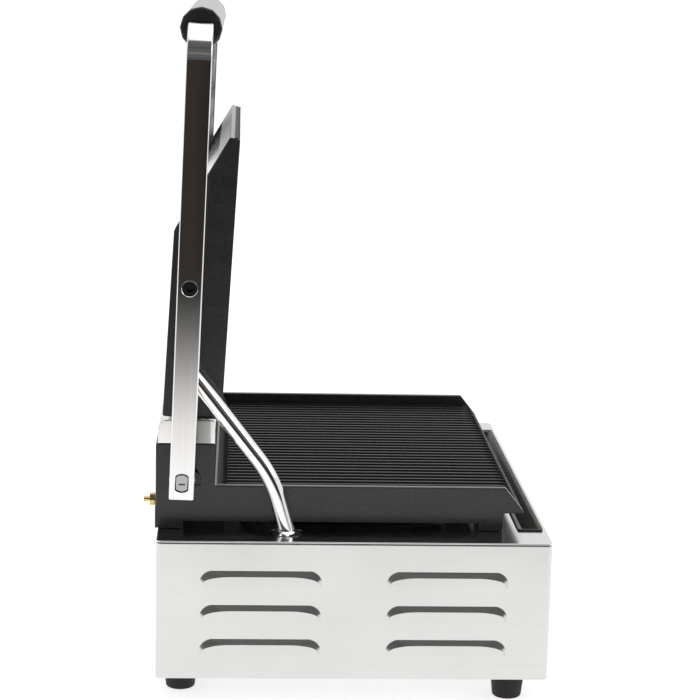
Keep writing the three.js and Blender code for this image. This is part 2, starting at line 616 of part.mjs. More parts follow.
function buildConduit() {
  const at = ([y, z], x = CONDUIT.x) => [x, y, z];
  const corners = [at(CONDUIT.base), at(CONDUIT.knee), at(CONDUIT.end)];
  const tube = bentRod(corners, CONDUIT.bend, CONDUIT.radius, 20, 18);
  add(press, "conduit", tube, "chrome");
  const flange = ring("z", 12.5, 7.7, BASE.top + GAP, BASE.top + 2.8, CONDUIT.x, CONDUIT.base[0] + 3.4);
  add(press, "conduit_flange", flange, "chrome");
  const rise = new THREE.Vector2(...CONDUIT.end).sub(new THREE.Vector2(...CONDUIT.knee)).normalize();
  const along = (d) => [CONDUIT.x, CONDUIT.end[0] + rise.x * d, CONDUIT.end[1] + rise.y * d];
  const bush = add(press, "conduit_bush", ring("z", 7.2, CONDUIT.pipe + GAP, GAP, 5, 0, 0, 24), "rubber");
  bush.position.set(...along(0));
  bush.rotation.x = -Math.atan2(rise.x, rise.y);
  const drop = [[136.2, 262.8], [138.2, 258.6], [138.2, 250], [137.4, 238], [136, 224]].map((p) => at(p));
  const entry = [[-177, 133.5, 211], [-173.5, 132.1, 207], [-166, 132, 206.8]];
  const route = [along(GAP), along(4), along(8.5), ...drop, ...entry];
  const pipe = new THREE.CatmullRomCurve3(route.map((p) => new THREE.Vector3(...p)));
  add(press, "conduit_pipe", sweep(pipe, CONDUIT.pipe, 8, 36), "steel");
}

buildBase();
buildHinge();
buildHead();
buildControls();
buildConduit();

export default press;
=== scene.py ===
import json
import math
import bmesh
import bpy
from mathutils import Matrix, Vector


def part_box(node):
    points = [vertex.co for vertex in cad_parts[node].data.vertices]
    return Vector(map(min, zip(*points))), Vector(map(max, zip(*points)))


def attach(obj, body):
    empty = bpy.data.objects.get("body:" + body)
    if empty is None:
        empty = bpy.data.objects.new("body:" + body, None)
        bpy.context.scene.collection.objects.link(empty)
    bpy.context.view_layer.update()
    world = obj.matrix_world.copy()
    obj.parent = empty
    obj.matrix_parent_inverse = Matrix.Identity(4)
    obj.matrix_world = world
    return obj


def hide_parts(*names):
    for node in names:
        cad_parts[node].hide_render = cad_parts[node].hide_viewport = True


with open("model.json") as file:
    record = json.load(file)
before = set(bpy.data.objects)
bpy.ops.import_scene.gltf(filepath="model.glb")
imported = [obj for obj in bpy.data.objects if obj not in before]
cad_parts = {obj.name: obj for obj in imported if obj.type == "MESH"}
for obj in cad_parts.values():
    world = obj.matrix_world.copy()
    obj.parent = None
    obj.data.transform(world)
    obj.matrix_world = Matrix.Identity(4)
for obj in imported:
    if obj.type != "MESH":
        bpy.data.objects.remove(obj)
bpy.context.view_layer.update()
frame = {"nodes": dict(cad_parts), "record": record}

MM = 0.001

# ------------------------------------------------------------------ camera
CAMERA_PLACE = (-1.70916, 0.09468, 0.57456)
CAMERA_YAW, CAMERA_PITCH, CAMERA_ROLL = -0.056, -0.193, 0.024
CAMERA_LENS = 105.07


def make_camera():
    """A long lens on the operator's left, a little above the plates."""
    forward = Vector((
        math.cos(CAMERA_PITCH) * math.cos(CAMERA_YAW),
        math.cos(CAMERA_PITCH) * math.sin(CAMERA_YAW),
        math.sin(CAMERA_PITCH),
    ))
    right = forward.cross(Vector((0, 0, 1))).normalized()
    up = right.cross(forward)
    cos_r, sin_r = math.cos(CAMERA_ROLL), math.sin(CAMERA_ROLL)
    rolled_right = cos_r * right + sin_r * up
    rolled_up = cos_r * up - sin_r * right
    turn = Matrix((rolled_right, rolled_up, -forward)).transposed().to_4x4()
    data = bpy.data.cameras.new("camera")
    data.lens = CAMERA_LENS
    data.sensor_width = 36
    data.clip_end = 100
    camera = bpy.data.objects.new("camera", data)
    camera.matrix_world = Matrix.Translation(CAMERA_PLACE) @ turn
    bpy.context.collection.objects.link(camera)
    bpy.context.scene.camera = camera


# ------------------------------------------------------------------ material helpers
class Nodes:
    """Short calls for one material's node tree."""

    def __init__(self, name):
        self.material = bpy.data.materials.new(name)
        self.material.use_nodes = True
        self.tree = self.material.node_tree
        self.shader = self.tree.nodes["Principled BSDF"]
        self.coords = self.add("ShaderNodeTexCoord").outputs["Object"]

    def add(self, kind, **values):
        node = self.tree.nodes.new(kind)
        for key, value in values.items():
            setattr(node, key, value)
        return node

    def link(self, source, target):
        self.tree.links.new(source, target)

    def set(self, **values):
        for key, value in values.items():
            self.shader.inputs[key.replace("_", " ")].default_value = value

    def stretched(self, scale):
        mapping = self.add("ShaderNodeMapping")
        mapping.inputs["Scale"].default_value = scale
        self.link(self.coords, mapping.inputs["Vector"])
        return mapping.outputs["Vector"]

    def noise(self, vector, scale, detail=4.0, rough=0.5):
        node = self.add("ShaderNodeTexNoise")
        node.inputs["Scale"].default_value = scale
        node.inputs["Detail"].default_value = detail
        node.inputs["Roughness"].default_value = rough
        self.link(vector, node.inputs["Vector"])
        return node.outputs["Fac"]

    def spread(self, source, low, high, start=0.3, end=0.7):
        node = self.add("ShaderNodeMapRange")
        node.inputs["From Min"].default_value = start
        node.inputs["From Max"].default_value = end
        node.inputs["To Min"].default_value = low
        node.inputs["To Max"].default_value = high
        self.link(source, node.inputs["Value"])
        return node.outputs["Result"]

    def ramp(self, source, dark, light, start=0.3, end=0.7):
        return self.bands(source, ((start, dark), (end, light)))

    def bands(self, source, stops):
        """Colours that change through stops of (position, colour)."""
        node = self.add("ShaderNodeValToRGB")
        while len(node.color_ramp.elements) < len(stops):
            node.color_ramp.elements.new(0.5)
        for element, (position, colour) in zip(node.color_ramp.elements, stops):
            element.position = position
            element.color = (*colour, 1)
        self.link(source, node.inputs["Fac"])
        return node.outputs["Color"]

    def bump(self, height, strength, distance, normal=None):
        node = self.add("ShaderNodeBump")
        node.inputs["Strength"].default_value = strength
        node.inputs["Distance"].default_value = distance
        self.link(height, node.inputs["Height"])
        if normal:
            self.link(normal, node.inputs["Normal"])
        return node.outputs["Normal"]


def metal(name, dark, light, roughness, brush, brush_depth, smear=0.05):
    """Metal with a brushed grain: brush is the grain's stretch along x, y and z."""
    n = Nodes(name)
    n.set(Metallic=1.0)
    grain = n.noise(n.stretched(brush), 1.0, 5.0, 0.65)
    cloud = n.noise(n.coords, 9.0, 3.0)
    n.link(n.ramp(grain, dark, light), n.shader.inputs["Base Color"])
    rough = n.spread(cloud, roughness - smear, roughness + smear)
    add = n.add("ShaderNodeMath", operation="ADD")
    n.link(rough, add.inputs[0])
    n.link(n.spread(grain, -smear * 0.6, smear * 0.6), add.inputs[1])
    n.link(add.outputs[0], n.shader.inputs["Roughness"])
    n.link(n.bump(grain, brush_depth, 0.0002), n.shader.inputs["Normal"])
    return n.material


def heat_tinted(name):
    """Polished steel with a painted reflection: a soft dark band in its colour behind the front edge."""
    n = Nodes(name)
    n.set(Metallic=1.0)
    place = n.add("ShaderNodeSeparateXYZ")
    n.link(n.coords, place.inputs["Vector"])
    # painted reflection: base-colour levels across the cover from front to rear, dark in the middle band
    levels = ((0.0, 0.9), (0.06, 0.85), (0.1, 0.4), (0.46, 0.13), (0.6, 0.18), (0.8, 0.9))
    stops = [(position, (level, 0.99 * level, 0.975 * level)) for position, level in levels]
    front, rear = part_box("hinge_cover")[0][1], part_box("hinge_cover")[1][1]
    across = n.spread(place.outputs["Y"], 0, 1, front, rear)
    n.link(n.bands(across, stops), n.shader.inputs["Base Color"])
    grain = n.noise(n.stretched((6, 900, 900)), 1.0, 4.0)
    n.link(n.spread(grain, 0.1, 0.2), n.shader.inputs["Roughness"])
    return n.material


def casting(name, dark, light, roughness, grain_scale, depth, coat=0.95):
    """Black enamelled iron: a fine sandy skin over slow unevenness, under a thin glassy layer."""
    n = Nodes(name)
    fine = n.noise(n.coords, grain_scale, 5.0, 0.6)
    slow = n.noise(n.stretched((14, 14, 90)), 1.0, 4.0)
    mix = n.add("ShaderNodeMix", data_type="RGBA", blend_type="MULTIPLY")
    mix.inputs["Factor"].default_value = 0.6
    n.link(n.ramp(fine, dark, light, 0.3, 0.72), mix.inputs["A"])
    n.link(n.ramp(slow, (0.55, 0.55, 0.55), (1, 1, 1)), mix.inputs["B"])
    n.link(mix.outputs["Result"], n.shader.inputs["Base Color"])
    n.link(n.spread(fine, roughness - 0.05, roughness + 0.12), n.shader.inputs["Roughness"])
    n.set(IOR=1.3, Coat_Weight=coat, Coat_IOR=1.42, Coat_Roughness=0.22)
    slow_bump = n.bump(slow, 0.2, 0.001)
    n.link(n.bump(fine, depth, 0.00012, slow_bump), n.shader.inputs["Normal"])
    return n.material


def moulded(name, dark, light, roughness, grain_scale=700.0, depth=0.15):
    """Moulded plastic or rubber with a fine grain."""
    n = Nodes(name)
    fine = n.noise(n.coords, grain_scale, 4.0)
    slow = n.noise(n.coords, 30.0, 2.0)
    n.link(n.ramp(slow, dark, light), n.shader.inputs["Base Color"])
    n.link(n.spread(fine, roughness - 0.05, roughness + 0.07), n.shader.inputs["Roughness"])
    n.link(n.bump(fine, depth, 0.0001), n.shader.inputs["Normal"])
    return n.material


def lens(name, colour):
    """Tinted lamp lens: clear plastic over faint moulded rings."""
    n = moulded(name, tuple(0.6 * c for c in colour), colour, 0.12, 200.0, 0.05)
    shader = n.node_tree.nodes["Principled BSDF"]
    shader.inputs["Subsurface Weight"].default_value = 0.3
    shader.inputs["Subsurface Radius"].default_value = (0.002, 0.002, 0.002)
    shader.inputs["Coat Weight"].default_value = 0.6
    return n


def make_materials():
    along_y, along_z, along_x = (700, 5, 700), (900, 900, 6), (5, 700, 700)
    return {
        "stainless": metal("stainless_brushed", (0.675, 0.672, 0.662), (0.725, 0.721, 0.71),
                           0.24, along_y, 0.02),
        "polished": metal("stainless_polished", (0.84, 0.838, 0.83), (0.90, 0.897, 0.89),
                          0.13, along_x, 0.01, 0.03),
        "deck": metal("stainless_deck", (0.76, 0.757, 0.75), (0.83, 0.827, 0.82), 0.17, along_y, 0.008, 0.04),
        "chrome": metal("chrome_plate", (0.80, 0.80, 0.80), (0.87, 0.87, 0.868), 0.07, along_z, 0.012, 0.02),
        "tube": metal("chrome_tube", (0.90, 0.89, 0.88), (0.95, 0.945, 0.935), 0.06, along_x, 0.004, 0.02),
        # the hinge cover's polished steel, with a painted reflection band in its base colour
        "cover": heat_tinted("stainless_hinge_cover"),
        "steel": metal("zinc_steel", (0.48, 0.48, 0.475), (0.66, 0.66, 0.65), 0.34, (60, 60, 60), 0.06),
        "blackened": metal("black_oxide", (0.04, 0.04, 0.041), (0.075, 0.075, 0.077),
                           0.22, (60, 60, 60), 0.03),
        "cast_iron": casting("black_cast_iron", (0.005, 0.005, 0.0053), (0.026, 0.026, 0.0265),
                             0.36, 800.0, 0.6),
        "ridge_iron": casting("seasoned_iron", (0.002, 0.002, 0.002), (0.009, 0.009, 0.009),
                              0.42, 900.0, 0.4, 0.3),
        "enamel": moulded("black_enamel", (0.024, 0.022, 0.018), (0.034, 0.031, 0.026), 0.4, 90.0, 0.02),
        "bakelite": casting("black_bakelite", (0.014, 0.014, 0.015), (0.024, 0.024, 0.027),
                            0.24, 500.0, 0.04),
        "rubber": moulded("black_rubber", (0.004, 0.004, 0.004), (0.009, 0.009, 0.0085), 0.72, 500.0, 0.3),
        "brass": metal("machined_brass", (0.62, 0.44, 0.16), (0.80, 0.62, 0.30), 0.25, (400, 40, 400), 0.05),
        "bronze": metal("sintered_bronze", (0.42, 0.26, 0.12), (0.58, 0.38, 0.20), 0.45, (80, 80, 80), 0.1),
        "ceramic": moulded("white_ceramic", (0.66, 0.62, 0.55), (0.78, 0.74, 0.67), 0.5),
        "green": lens("lens_green", (0.05, 0.42, 0.10)),
        "amber": lens("lens_amber", (0.80, 0.30, 0.03)),
        "white_print": moulded("white_print", (0.75, 0.75, 0.73), (0.85, 0.85, 0.83), 0.5),
        "dark_print": moulded("dark_print", (0.015, 0.015, 0.015), (0.03, 0.03, 0.03), 0.5),
    }


# ------------------------------------------------------------------ places (millimetres in, metres out)
CENTRE_Y = 2.5
PIVOT_Y, PIVOT_Z = 133.3, 173.3
LEAN, TILT = math.radians(1.81), math.radians(3.11)
SCREW, GRIP_AT = 150.2, 341.9
TO_PRESS = Matrix.Scale(MM, 4) @ Matrix.Translation((0, CENTRE_Y, 0))
TO_ARMS = TO_PRESS @ Matrix.Translation((0, PIVOT_Y, PIVOT_Z)) @ Matrix.Rotation(LEAN, 4, "X")
TO_HEAD = TO_ARMS @ Matrix.Translation((0, 0, SCREW)) @ Matrix.Rotation(TILT - LEAN, 4, "X")
SIDES = (("left", -1), ("right", 1))


# ------------------------------------------------------------------ mesh helpers
def body_of_node(node):
    return next(b for b, names in frame["record"]["behaviour"]["bodies"].items() if node in names)


def slot_of_node(node):
    return next(s["material_slot"] for s in frame["record"]["subparts"] if s["node"] == node)


def mesh_object(name, bm, material=None):
    mesh = bpy.data.meshes.new(name)
    bm.normal_update()
    bm.to_mesh(mesh)
    bm.free()
    obj = bpy.data.objects.new(name, mesh)
    bpy.context.collection.objects.link(obj)
    if material:
        obj.data.materials.append(material)
    return obj


def bake_modifiers(obj):
    depsgraph = bpy.context.evaluated_depsgraph_get()
    mesh = bpy.data.meshes.new_from_object(obj.evaluated_get(depsgraph))
    obj.modifiers.clear()
    obj.data = mesh


def shade(obj, angle=35):
    """Smooth shading in which the large flat faces stay flat."""
    obj.data.shade_smooth()
    obj.data.set_sharp_from_angle(angle=math.radians(angle))
    weighted = obj.modifiers.new("flat", "WEIGHTED_NORMAL")
    weighted.keep_sharp = True
    weighted.weight = 60
    bake_modifiers(obj)


def round_edges(obj, width, segments=3, angle=28, weight=None):
    """Rounded edges; weight(middle of an edge) scales the width where it is given."""
    if not width:
        return
    if weight:
        bm = bmesh.new()
        bm.from_mesh(obj.data)
        layer = bm.edges.layers.float.new("bevel_weight_edge")
        for edge in bm.edges:
            if len(edge.link_faces) == 2 and edge.calc_face_angle() > math.radians(angle):
                edge[layer] = weight((edge.verts[0].co + edge.verts[1].co) / 2)
        bm.to_mesh(obj.data)
        bm.free()
    bevel = obj.modifiers.new("edges", "BEVEL")
    bevel.width = width
    bevel.segments = segments
    bevel.limit_method = "WEIGHT" if weight else "ANGLE"
    bevel.angle_limit = math.radians(angle)
    bevel.use_clamp_overlap = False
    bevel.loop_slide = False
    bake_modifiers(obj)


def stand_for(obj, nodes):
    """obj replaces these CAD nodes, all of one body, and rides where they ride."""
    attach(obj, body_of_node(nodes[0]))
    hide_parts(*nodes)
    slot_of_node(nodes[0])


def piece(node, bm, place, material, bevel=0.0, cuts=(), smooth=35, after=None, weight=None):
    """A finished piece for one CAD node: bm is in millimetres in the frame that place takes to metres."""
    obj = mesh_object("look_" + node, bm, material)
    if cuts:
        cut_away(obj, cuts)
    round_edges(obj, bevel, weight=weight)
    if after:
        after(obj)
    obj.data.transform(place)
    if place.to_3x3().determinant() < 0:
        obj.data.flip_normals()
    shade(obj, smooth)
    PLACED.add(node)
    stand_for(obj, [node])


def refined_copy(node, material, width, segments=2, smooth=35):
    """The CAD node's own shape with its doubled points merged and its edges rounded."""
    bm = bmesh.new()
    bm.from_mesh(frame["nodes"][node].data)
    bmesh.ops.remove_doubles(bm, verts=bm.verts, dist=1e-6)
    obj = mesh_object("look_" + node, bm, material)
    round_edges(obj, width, segments)
    shade(obj, smooth)
    PLACED.add(node)
    stand_for(obj, [node])


def cut_away(obj, tools):
    """Cuts every tool mesh away from obj."""
    cutters = [mesh_object("cutter", tool) for tool in tools]
    for cutter in cutters:
        modifier = obj.modifiers.new("cut", "BOOLEAN")
        modifier.operation = "DIFFERENCE"
        modifier.solver = "EXACT"
        modifier.object = cutter
    bake_modifiers(obj)
    for cutter in cutters:
        bpy.data.objects.remove(cutter)


def add_part(obj, bm, material):
    """Adds another closed mesh to obj with its own material."""
    if material.name not in obj.data.materials:
        obj.data.materials.append(material)
    index = obj.data.materials.find(material.name)
    for face in bm.faces:
        face.material_index = index
    scrap = bpy.data.meshes.new("part")
    bm.to_mesh(scrap)
    joined = bmesh.new()
    joined.from_mesh(obj.data)
    joined.from_mesh(scrap)
    joined.to_mesh(obj.data)
    joined.free()


AXIS_TURN = {
    "x": Matrix(((0, 0, 1), (1, 0, 0), (0, 1, 0))).to_4x4(),
    "y": Matrix(((0, 1, 0), (0, 0, 1), (1, 0, 0))).to_4x4(),
    "z": Matrix.Identity(4),
}


def loft(rings, closed=False):
    """Rings of equally many points joined into one skin, with end faces unless it is closed on itself."""
    bm = bmesh.new()
    rows = [[bm.verts.new(p) for p in ring] for ring in rings]
    pairs = list(zip(rows, rows[1:])) + ([(rows[-1], rows[0])] if closed else [])
    count = len(rows[0])
    for a, b in pairs:
        for k in range(count):
            bm.faces.new((a[k], a[(k + 1) % count], b[(k + 1) % count], b[k]))
    if not closed:
        bm.faces.new(rows[0][::-1])
        bm.faces.new(rows[-1])
    bmesh.ops.recalc_face_normals(bm, faces=bm.faces)
    return bm


def turned(bm, axis):
    bm.transform(AXIS_TURN[axis])
    return bm


def prism_mesh(outline, axis, low, high):
    """A closed outline swept along an axis; outline order is (y, z) for x, (z, x) for y, (x, y) for z."""
    return turned(loft([[(u, v, w) for u, v in outline] for w in (low, high)]), axis)


def block_mesh(x0, x1, y0, y1, z0, z1):
    return prism_mesh([(x0, y0), (x1, y0), (x1, y1), (x0, y1)], "z", z0, z1)


def rounded_rect(x0, x1, y0, y1, r, steps=7):
    points = []
    corners = ((x1 - r, y0 + r, -90), (x1 - r, y1 - r, 0), (x0 + r, y1 - r, 90), (x0 + r, y0 + r, 180))
    for cx, cy, start in corners:
        for i in range(steps + 1):
            a = math.radians(start + 90 * i / steps)
            points.append((cx + r * math.cos(a), cy + r * math.sin(a)))
    return points


def circle(radius, centre=(0, 0), count=48, start=0.0):
    return [(
        centre[0] + radius * math.cos(start + math.tau * i / count),
        centre[1] + radius * math.sin(start + math.tau * i / count),
    ) for i in range(count)]


def rod_mesh(axis, radius, low, high, u, v, count=48):
    return prism_mesh(circle(radius, (u, v), count), axis, low, high)


def lathe(profile, axis, u, v, count=64, wave=None):
    """A closed profile of (radius, height) turned about an axis; wave(angle, radius, height) reshapes it."""
    rings = []
    for i in range(count):
        a = math.tau * i / count
        rings.append([])
        for r, h in profile:
            if wave:
                r = wave(a, r, h)
            rings[-1].append((u + r * math.cos(a), v + r * math.sin(a), h))
    bm = loft(rings, closed=True)
    bmesh.ops.remove_doubles(bm, verts=bm.verts, dist=1e-5)
    return turned(bm, axis)


def tube_mesh(points, radius, sides=32):
    """A round tube with closed ends along a list of points."""
    pts = [Vector(p) for p in points]
    normal = None
    rings = []
    for i, p in enumerate(pts):
        tangent = (pts[min(i + 1, len(pts) - 1)] - pts[max(i - 1, 0)]).normalized()
        if normal is None:
            normal = tangent.orthogonal().normalized()
        normal = (normal - tangent * normal.dot(tangent)).normalized()
        side = tangent.cross(normal)
        angles = (math.tau * k / sides for k in range(sides))
        rings.append([p + radius * (math.cos(a) * normal + math.sin(a) * side) for a in angles])
    return loft(rings)


def smooth_path(points, per_span):
    """A Catmull-Rom line through the points."""
    pts = [Vector(p) for p in points]
    pts = [2 * pts[0] - pts[1], *pts, 2 * pts[-1] - pts[-2]]
    line = []
    for a, b, c, d in zip(pts, pts[1:], pts[2:], pts[3:]):
        for i in range(per_span):
            t = i / per_span
            line.append(0.5 * (2 * b + (c - a) * t + (2 * a - 5 * b + 4 * c - d) * t**2
                               + (3 * b - a - 3 * c + d) * t**3))
    return line + [pts[-2]]


def mirrored(bm):
    """The same shape on the other side, turned half round the vertical axis."""
    bm.transform(Matrix.Rotation(math.pi, 4, "Z"))
    return bm


def mirrored_about(bm):
    """The mirror image across the middle plane of the press."""
    bm.transform(Matrix.Diagonal((-1, 1, 1, 1)))
    bmesh.ops.reverse_faces(bm, faces=bm.faces)
    return bm


def rounded_ring(outer, inner, low, high, edge, steps=4):
    """Profile points of a turned ring whose four rims are rounded."""
    points = []
    for r, h, start in ((outer - edge, low + edge, -90), (outer - edge, high - edge, 0),
                        (inner + edge, high - edge, 90), (inner + edge, low + edge, 180)):
        for i in range(steps + 1):
            a = math.radians(start + 90 * i / steps)
            points.append((r + edge * math.cos(a), h + edge * math.sin(a)))
    return points


# ------------------------------------------------------------------ base housing
HALF_X, HALF_Y = 205, 152.5
PLATE_BOLTS = [(x, y) for x in (-156, 156) for y in (-108, 144)]
LOUVRE_RISE = ((0.08, 0.02), (0.16, 0.1), (0.84, 0.78), (0.92, 0.84), (1.0, 0.86))
LOUVRE_TILT, LOUVRE_FOOT = 0.3, 2.4
LOUVRE_LENGTH, LOUVRE_HEIGHT, LOUVRE_ARCH, LOUVRE_PROUD, LOUVRE_BAND, SKIN = 94, 12, 9, 2.2, 4.5, 0.8


def louvre_line(inset, steps=12):
    """The arch of a louvre, from one lower end over the top to the other. It flattens as it is set in."""
    half, top = LOUVRE_LENGTH / 2 - 0.55 * inset, LOUVRE_HEIGHT - inset
    reach = LOUVRE_ARCH + 3.2 * inset
    line = [(half, 0.0)]
    for sign, start in ((1, 0), (-1, 90)):
        for i in range(steps + 1):
            a = math.radians(start + 90 * i / steps)
            rise = LOUVRE_FOOT + (top - LOUVRE_FOOT) * math.sin(a)
            line.append((sign * (half - reach) + reach * math.cos(a), rise))
    return line + [(-half, 0.0)]


def louvre_hood(y, z):
    """A pressed hood on the +X wall, of even thickness, open below."""
    bm = bmesh.new()
    steps = [(0.0, -0.7), (0.0, 0.0)]
    steps += [(LOUVRE_BAND * t, LOUVRE_PROUD * h) for t, h in LOUVRE_RISE]
    skins = []
    for inward in (0.0, SKIN):
        rows = []
        for inset, proud in steps:
            line = louvre_line(inset + 0.6 * inward)
            tilt = [LOUVRE_TILT * max(proud, 0) / LOUVRE_PROUD * (1 - v / LOUVRE_HEIGHT) for _, v in line]
            x = HALF_X + proud - inward
            rows.append([bm.verts.new((x + t, y + u, z + v)) for t, (u, v) in zip(tilt, line)])
        skins.append(rows)
    for rows in skins:
        for a, b in zip(rows, rows[1:]):
            for k in range(len(a) - 1):
                bm.faces.new((a[k], a[k + 1], b[k + 1], b[k]))
        bm.faces.new(rows[-1])
    outer, inner = skins
    for end in (0, -1):
        for k in range(len(outer) - 1):
            bm.faces.new((outer[k][end], outer[k + 1][end], inner[k + 1][end], inner[k][end]))
    bm.faces.new((outer[-1][0], outer[-1][-1], inner[-1][-1], inner[-1][0]))
    bmesh.ops.recalc_face_normals(bm, faces=bm.faces)
    return bm


def louvre_places():
    return [(y, 94.7 - 27.3 * row) for y in (-72, 72) for row in range(3)]


def make_base_shell():
    """The housing: an open box of sheet with pressed louvres on both sides."""
    wall = 1.5
    profile = [
        (0.25, 0.25, 20.0), (0.05, 0.05, 20.15), (0, 0, 20.4), (0, 0, 127.4), (0.1, 0.1, 127.8),
        (0.4, 0.4, 128.0), (13, 1.8, 128.0), (13, 1.8, 126.8), (wall, wall, 126.8), (wall, wall, 20.0),
    ]
    rings = []
    for dx, dy, z in profile:
        r = max(4 - dy, 1.0)
        outline = rounded_rect(-HALF_X + dx, HALF_X - dx, -HALF_Y + dy, HALF_Y - dy, r)
        rings.append([(x, y, z) for x, y in outline])
    tools = [
        rod_mesh("y", 4.2, -158, -148, PANEL_Z, KNOB_X), rod_mesh("y", 8.4, 147, 158, 60, 120),
        block_mesh(SWITCH_X - 11.3, SWITCH_X + 11.3, -158, -148, PANEL_Z - 14.3, PANEL_Z + 14.3),
    ]
    tools += [rod_mesh("y", 5.4, -158, -148, PANEL_Z, x) for _, x in LAMPS]
    for y, z in louvre_places():
        hole = [(y + u, z + v) for u, v in louvre_line(0.35)]
        tools += [prism_mesh(hole, "x", 200, 210), mirrored(prism_mesh(hole, "x", 200, 210))]

    def add_hoods(obj):
        for y, z in louvre_places():
            for bm in (louvre_hood(y, z), mirrored(louvre_hood(y, z))):
                add_part(obj, bm, MATERIALS["stainless"])
                bm.free()

    steel = MATERIALS["stainless"]
    piece("base_shell", loft(rings, closed=True), TO_PRESS, steel, cuts=tools, after=add_hoods)


def make_top_cover():
    """The separate top sheet, set over the housing with a narrow seam."""
    profile = [
        (5, 128.7), (5, 128.35), (2, 128.35), (2, 128.8), (0.3, 128.8), (0.08, 128.9), (0, 129.1), (0, 129.4),
        (0.06, 129.65), (0.22, 129.87), (0.5, 130),
    ]
    rings = []
    for inset, z in profile:
        r = max(4 - inset, 1)
        outline = rounded_rect(-HALF_X + inset, HALF_X - inset, -HALF_Y + inset, HALF_Y - inset, r)
        rings.append([(x, y, z) for x, y in outline])
    tools = [
        block_mesh(-168, 168, -147.6, -131.6, 125, 135), rod_mesh("z", 8.6, 125, 135, CONDUIT_X, 52),
        block_mesh(-30, 30, 60, 80, 125, 135),
    ]
    tools += [rod_mesh("z", 3.4, 125, 135, x, y, 24) for x, y in PLATE_BOLTS]
    piece("top_cover", loft(rings), TO_PRESS, MATERIALS["deck"], cuts=tools)


def make_feet():
    """Rubber feet with a rounded tread and a hollow for the screw."""
    profile = [
        (2.3, 14), (2.3, 19.6), (2.7, 20), (12.4, 20), (13.1, 19.7), (13.5, 19), (13.3, 18),
        (11.5, 2), (11.2, 0.7), (10.4, 0.0), (6.6, 0.0), (6.2, 0.3), (6.0, 1.0), (5.6, 14),
    ]
    corners = (("front_left", -183, -123.7), ("front_right", 183, -123.7),
               ("rear_left", -165, 134), ("rear_right", 165, 134))
    for name, x, y in corners:
        piece("foot_" + name, lathe(profile, "z", x, y), TO_PRESS, MATERIALS["rubber"])


def make_drip_tray():
    """A pressed enamelled trough hung by its folded rim."""
    def box_ring(dx, y0, y1, r, z):
        return [(x, y, z) for x, y in rounded_rect(-170 + dx, 170 - dx, y0, y1, r, 5)]

    rings = [
        box_ring(4.8, -137.4, -132.9, 1.0, 118.35), box_ring(4.2, -138.4, -132.8, 1.4, 118.5),
        box_ring(4.0, -139.2, -132.8, 1.4, 119.2), box_ring(4.0, -146.2, -132.8, 1.4, 130.3),
        box_ring(0.2, -149.4, -129.8, 2.0, 130.3), box_ring(0.0, -149.6, -129.6, 2.2, 130.55),
        box_ring(0.0, -149.6, -129.6, 2.2, 131.1), box_ring(0.15, -149.45, -129.75, 2.0, 131.4),
        box_ring(0.5, -149.1, -130.1, 1.8, 131.5), box_ring(1.2, -148.5, -130.6, 1.7, 131.45),
        box_ring(1.8, -148.0, -131.2, 1.6, 131.2), box_ring(4.9, -145.4, -133.5, 1.3, 130.2),
        box_ring(4.9, -138.2, -133.7, 1.2, 119.9), box_ring(5.2, -137.6, -133.9, 1.0, 119.5),
        box_ring(5.6, -137.2, -134.2, 0.8, 119.3),
    ]
    piece("drip_tray", loft(rings), TO_PRESS, MATERIALS["enamel"], smooth=50)


# ------------------------------------------------------------------ plates
RIDGE_PITCH, RIDGE_BASE, RIDGE_TOP, RIDGE_HIGH = 9.7, 6.4, 3.0, 4.3
PLATE_HALF, BED = 171, 152.5


def ridge_section(height, low, edge=0.45):
    """Half a ridge's section as (out, up), from its foot below the surface to its rounded crest."""
    lean = (RIDGE_BASE - RIDGE_TOP) / 2 / RIDGE_HIGH
    crest = RIDGE_BASE / 2 - lean * height
    foot = RIDGE_BASE / 2
    return [
        (foot + 0.25, low), (foot + 0.25, 0.0), (foot - lean * 0.3, 0.3 * min(height, 1)),
        (crest + lean * edge, max(height - edge, 0.1)),
        (crest - 0.12 * edge, max(height - 0.25 * edge, 0.15)), (crest - edge, max(height, 0.2)),
    ]


def ridge_mesh(x, stops, low, up):
    """One cast ridge through stops of (position along it, surface level, height).

    up turns (x, along, level) into a point.
    """
    rings = []
    for along, level, height in stops:
        half = ridge_section(height, low)
        outline = [(x - u, h) for u, h in half] + [(x + u, h) for u, h in half[::-1]]
        rings.append([up(u, along, level + h) for u, h in outline])
    return loft(rings)


